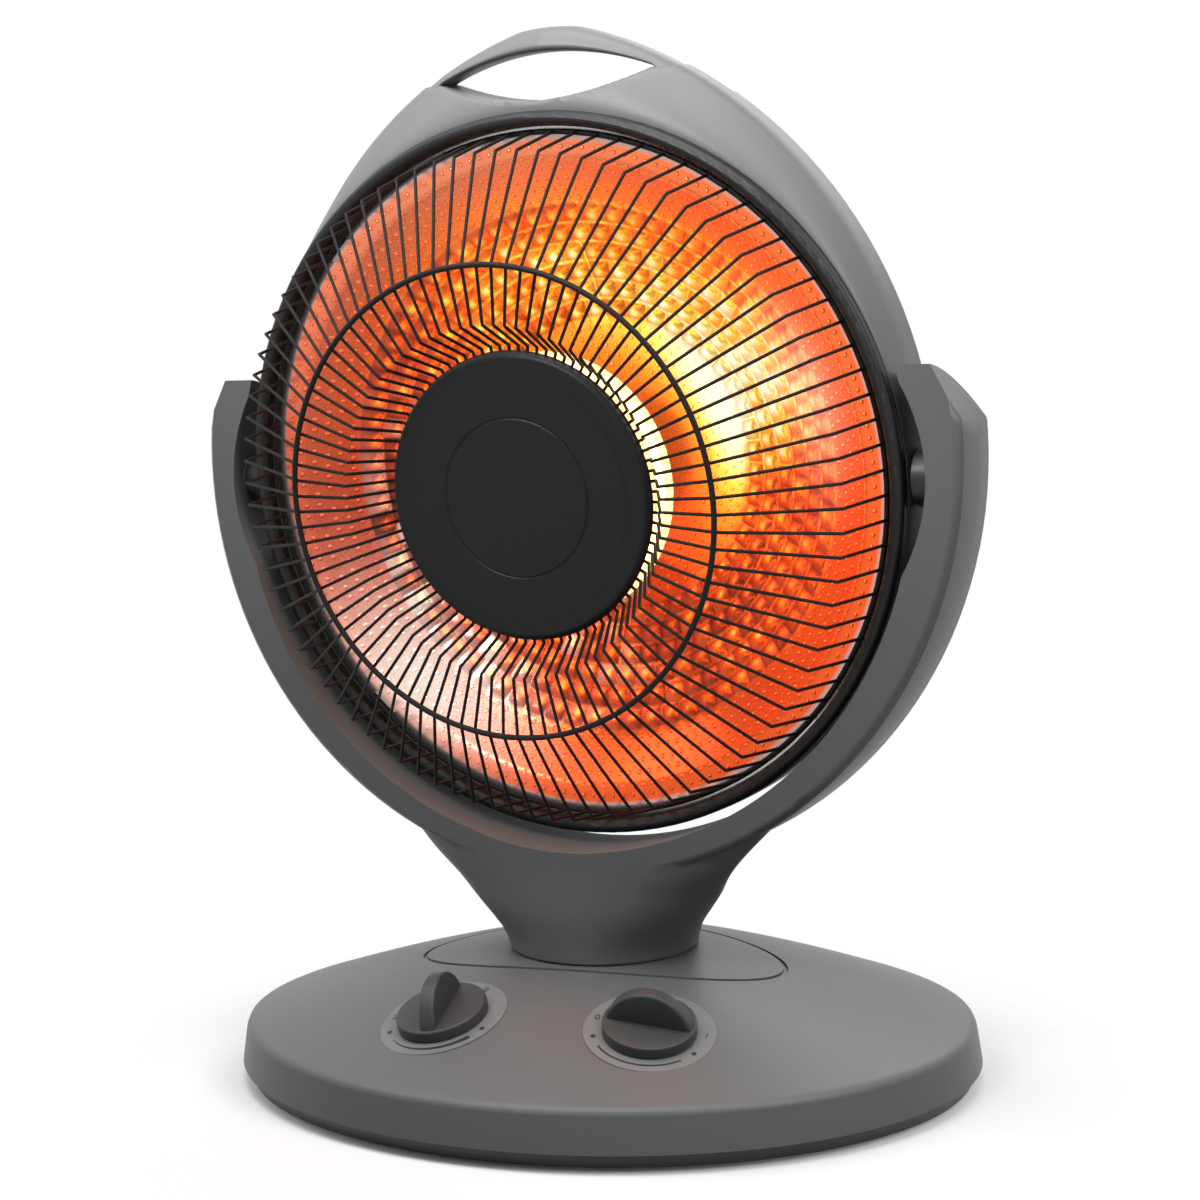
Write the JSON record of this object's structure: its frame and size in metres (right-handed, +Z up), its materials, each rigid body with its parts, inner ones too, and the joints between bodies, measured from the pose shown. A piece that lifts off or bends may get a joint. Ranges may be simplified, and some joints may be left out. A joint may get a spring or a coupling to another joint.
{
  "type": "halogen dish heater",
  "caption": "Free-standing halogen dish heater: dimpled reflector behind a wire guard in an arched head with handle, tilting in a yoke that swivels on an oval base with control knobs.",
  "frame": {"origin": "on the floor, under the swivel axis, at the middle of the oval base", "axes": "+Z up; X along the tilt axis of the yoke; the head faces -Y in the stored pose"},
  "size_m": [0.395, 0.3074, 0.4984],
  "materials": {
    "grey_shell": "satin dark grey plastic",
    "black_plastic": "satin black plastic",
    "dial_print": "matt grey dial plate with plain printed marks",
    "knob_plastic": "satin charcoal plastic",
    "foot_rubber": "matt black rubber",
    "bush_plastic": "black bearing plastic",
    "gear_plastic": "natural white gear plastic",
    "plain_steel": "zinc-plated steel",
    "ballast_iron": "bare cast iron",
    "guard_black": "black powder-coated wire",
    "lip_black": "glossy black ring",
    "dish_aluminium": "polished and dimpled",
    "lamp_glass": "clear quartz, lit",
    "lamp_wire": "glowing coil",
    "lamp_base": "cream heat-resisting block",
    "switch_body": "dark switch housing"
  },
  "bodies": {
    "base": {"base_plate": "black_plastic", "base_cover": "grey_shell", "ballast_plate": "ballast_iron", "rubber_feet": "foot_rubber", "base_screws": "plain_steel", "swivel_bush": "bush_plastic", "heat_dial": "dial_print", "oscillation_dial": "dial_print", "heat_switch": "switch_body", "oscillation_switch": "switch_body", "oscillation_motor": "plain_steel", "motor_screws": "plain_steel", "tilt_switch": "switch_body", "terminal_block": "gear_plastic", "cord_gland": "black_plastic"},
    "yoke": {"yoke_front_shell": "grey_shell", "yoke_rear_shell": "grey_shell", "swivel_spigot": "bush_plastic", "swivel_gear": "gear_plastic", "gear_screws": "plain_steel", "thrust_washer": "bush_plastic", "yoke_screws": "plain_steel", "pivot_bolts": "plain_steel", "friction_washers": "bush_plastic"},
    "head": {"front_bezel": "grey_shell", "carrying_handle": "grey_shell", "rear_cover": "grey_shell", "bezel_screws": "plain_steel", "trunnion_bushes": "black_plastic", "reflector": "dish_aluminium", "lamp_tube": "lamp_glass", "lamp_filament": "lamp_wire", "lamp_holders": "lamp_base", "lamp_bracket": "plain_steel", "thermal_cutout": "switch_body", "guard_wires": "guard_black", "guard_outer_ring": "guard_black", "guard_mid_ring": "guard_black", "guard_lip": "lip_black", "guard_clips": "guard_black", "hub_cap": "black_plastic", "hub_plate": "guard_black", "hub_screw": "plain_steel"},
    "heat_control": {"heat_knob": "knob_plastic", "heat_shaft": "gear_plastic"},
    "oscillation_control": {"oscillation_knob": "knob_plastic", "oscillation_shaft": "gear_plastic"},
    "pinion": {"motor_pinion": "gear_plastic", "pinion_shaft": "plain_steel"}
  },
  "joints": [
    {"name": "swivel", "type": "hinge", "parent": "base", "child": "yoke", "pos_m": [0, 0, 0.0629], "axis": [0, 0, 1], "range_deg": [-25.5, 44.5]},
    {"name": "tilt", "type": "hinge", "parent": "yoke", "child": "head", "pos_m": [0, -0.019, 0.2904], "axis": [1, 0, 0], "range_deg": [-26.5, 3.5]},
    {"name": "heat_turn", "type": "hinge", "parent": "base", "child": "heat_control", "pos_m": [-0.03387, -0.0965, 0.0458], "axis": [-0.0706, -0.3127, 0.9472], "range_deg": [-90, 90]},
    {"name": "oscillation_turn", "type": "hinge", "parent": "base", "child": "oscillation_control", "pos_m": [0.06344, -0.08021, 0.0458], "axis": [0.1686, -0.2726, 0.9472], "range_deg": [-90, 90]},
    {"name": "pinion_turn", "type": "hinge", "parent": "base", "child": "pinion", "pos_m": [-0.0099, 0.05918, 0.0352], "axis": [0, 0, 1], "range_deg": [-180, 104]}
  ],
  "couplings": [
    {"joint": "pinion_turn", "follows": "swivel", "ratio": -4}
  ]
}
